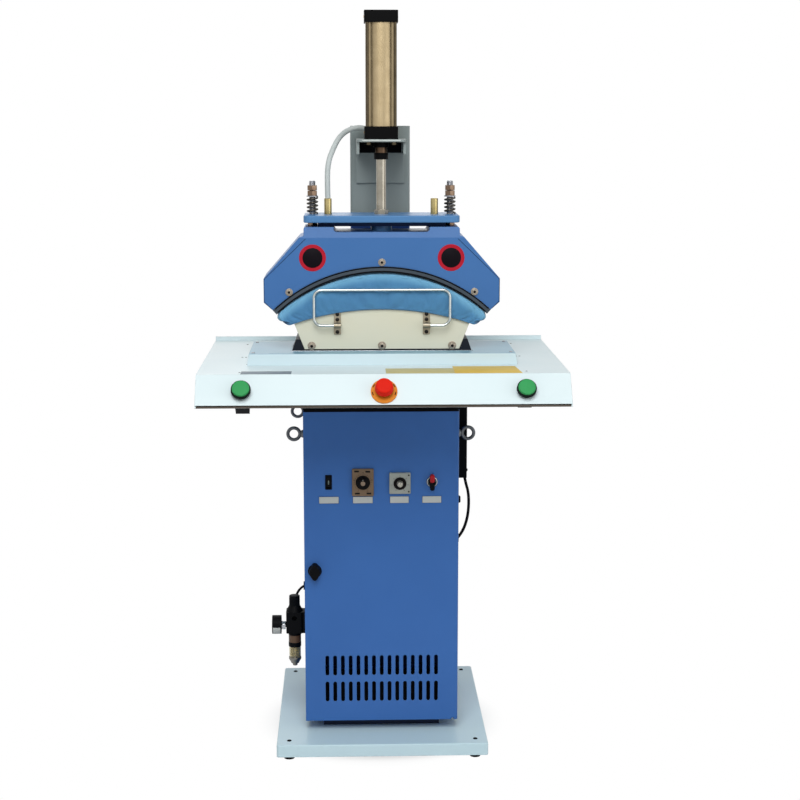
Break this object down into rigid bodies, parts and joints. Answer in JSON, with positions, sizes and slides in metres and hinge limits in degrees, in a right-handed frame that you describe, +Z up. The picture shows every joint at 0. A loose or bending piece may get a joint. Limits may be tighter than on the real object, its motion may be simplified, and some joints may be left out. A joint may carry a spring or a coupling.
{
  "type": "shirt collar setting machine",
  "caption": "Standing collar press: a heated curved head on an air cylinder closes on a padded curved buck over a table on a steel cabinet.",
  "frame": {"origin": "on the floor, under the middle of the machine's overall footprint", "axes": "+X to the operator's right, +Y to the back, +Z up"},
  "size_m": [0.806, 0.7956, 1.731],
  "materials": {
    "cabinet_blue": "satin blue powder coat",
    "head_blue": "satin blue enamel",
    "base_enamel": "pale blue-white enamel",
    "table_enamel": "pale blue-white enamel",
    "cream_enamel": "cream enamel",
    "column_enamel": "pale grey enamel",
    "black_enamel": "black enamel",
    "steel": "machined steel",
    "zinc": "zinc plate",
    "chrome": "chrome plate",
    "anodised": "clear anodised",
    "cast_aluminium": "machined casting",
    "brass": "bright brass",
    "rubber": "black rubber",
    "black_plastic": "moulded",
    "grey_plastic": "moulded",
    "bronze_plastic": "moulded",
    "green_plastic": "moulded",
    "red_plastic": "moulded",
    "yellow_plastic": "moulded",
    "clear_plastic": "clear moulded",
    "pad_fabric": "woven cotton cover over felt"
  },
  "bodies": {
    "root": {"base_plate": "base_enamel", "feet": "rubber", "plinth_rails": "cabinet_blue", "cabinet_body": "cabinet_blue", "rear_panel": "cabinet_blue", "hinge_pins": "steel", "mounting_plate": "zinc", "din_rail_gear": "grey_plastic", "solenoid_valve": "black_plastic", "lifting_eyes": "zinc", "table_support": "cream_enamel", "table_top": "table_enamel", "platform_cover": "table_enamel", "buck_foot": "black_enamel", "buck_plates": "cream_enamel", "buck_arch": "steel", "buck_pad": "pad_fabric", "bail_brackets": "steel", "column": "column_enamel", "cylinder_bracket": "column_enamel", "cylinder_caps": "black_enamel", "cylinder_barrel": "anodised", "cylinder_fixings": "chrome", "button_bodies": "black_plastic", "estop_ring": "yellow_plastic", "regulator_body": "black_plastic", "regulator_bracket": "black_enamel", "filter_bowl": "clear_plastic", "gauge_case": "chrome", "cable_duct": "black_plastic", "power_cord": "black_plastic", "cable_glands": "black_plastic", "air_tube": "black_plastic", "air_fittings": "chrome"},
    "head": {"head_casing": "head_blue", "arch_strips": "black_enamel", "pressing_die": "cast_aluminium", "heater_rods": "steel", "crossbar": "head_blue", "suspension_studs": "zinc", "suspension_springs": "steel", "conduit_nipples": "brass", "piston_rod": "chrome", "heater_conduit": "grey_plastic"},
    "door": {"front_door": "cabinet_blue", "switch_bodies": "black_plastic", "temperature_controller": "bronze_plastic", "timer": "grey_plastic"},
    "latch_knob": {"latch_knob": "black_plastic"},
    "power_rocker": {"power_rocker": "black_plastic"},
    "temperature_knob": {"temperature_knob": "black_plastic"},
    "timer_knob": {"timer_knob": "grey_plastic"},
    "selector_lever": {"selector_lever": "red_plastic"},
    "bail": {"bail": "chrome"},
    "palm_button_left": {"palm_button_left": "green_plastic"},
    "palm_button_right": {"palm_button_right": "green_plastic"},
    "estop_plunger": {"estop_plunger": "red_plastic"},
    "estop_head": {"estop_head": "red_plastic"},
    "regulator_knob": {"regulator_knob": "black_plastic"},
    "gauge_needle": {"gauge_needle": "black_plastic"}
  },
  "joints": [
    {"name": "head_lift", "type": "slide", "parent": "root", "child": "head", "axis": [0, 0, 1], "range_m": [0, 0.11], "deforming": ["heater_conduit"]},
    {"name": "bail_hinge", "type": "hinge", "parent": "root", "child": "bail", "pos_m": [0, -0.1857, 1.04], "axis": [1, 0, 0], "range_deg": [0, 120]},
    {"name": "palm_left", "type": "slide", "parent": "root", "child": "palm_button_left", "axis": [0, 0.7921, -0.6104], "range_m": [0, 0.004], "stiffness_N_per_m": 800, "springref_m": -0.002},
    {"name": "palm_right", "type": "slide", "parent": "root", "child": "palm_button_right", "axis": [0, 0.7921, -0.6104], "range_m": [0, 0.004], "stiffness_N_per_m": 800, "springref_m": -0.002},
    {"name": "estop_push", "type": "slide", "parent": "root", "child": "estop_plunger", "axis": [0, 0.7921, -0.6104], "range_m": [0, 0.004], "stiffness_N_per_m": 800, "springref_m": -0.002},
    {"name": "estop_twist", "type": "hinge", "parent": "estop_plunger", "child": "estop_head", "pos_m": [0, -0.37061, 0.92096], "axis": [0, 0.7921, -0.6104], "range_deg": [0, 30], "stiffness_Nm_per_rad": 0.05},
    {"name": "door_hinge", "type": "hinge", "parent": "root", "child": "door", "pos_m": [0.1775, -0.064, 0.4485], "axis": [0, 0, 1], "range_deg": [0, 110]},
    {"name": "latch_turn", "type": "hinge", "parent": "door", "child": "latch_knob", "pos_m": [-0.158, -0.069, 0.4405], "axis": [0, -1, 0], "range_deg": [0, 90]},
    {"name": "rocker_tilt", "type": "hinge", "parent": "door", "child": "power_rocker", "pos_m": [-0.124, -0.063, 0.6555], "axis": [1, 0, 0], "range_deg": [0, 24]},
    {"name": "temperature_turn", "type": "hinge", "parent": "door", "child": "temperature_knob", "pos_m": [-0.0435, -0.076, 0.6555], "axis": [0, 1, 0], "range_deg": [-150, 150]},
    {"name": "timer_turn", "type": "hinge", "parent": "door", "child": "timer_knob", "pos_m": [0.0435, -0.077, 0.653], "axis": [0, 1, 0], "range_deg": [-150, 150]},
    {"name": "selector_turn", "type": "hinge", "parent": "door", "child": "selector_lever", "pos_m": [0.1192, -0.0725, 0.6555], "axis": [0, 1, 0], "range_deg": [-45, 45]},
    {"name": "regulator_turn", "type": "hinge", "parent": "root", "child": "regulator_knob", "pos_m": [-0.209, -0.009, 0.339], "axis": [0, 0, 1], "range_deg": [-360, 360]},
    {"name": "gauge_sweep", "type": "hinge", "parent": "root", "child": "gauge_needle", "pos_m": [-0.259, -0.009, 0.291], "axis": [1, 0, 0], "range_deg": [0, 270], "stiffness_Nm_per_rad": 0.001}
  ]
}
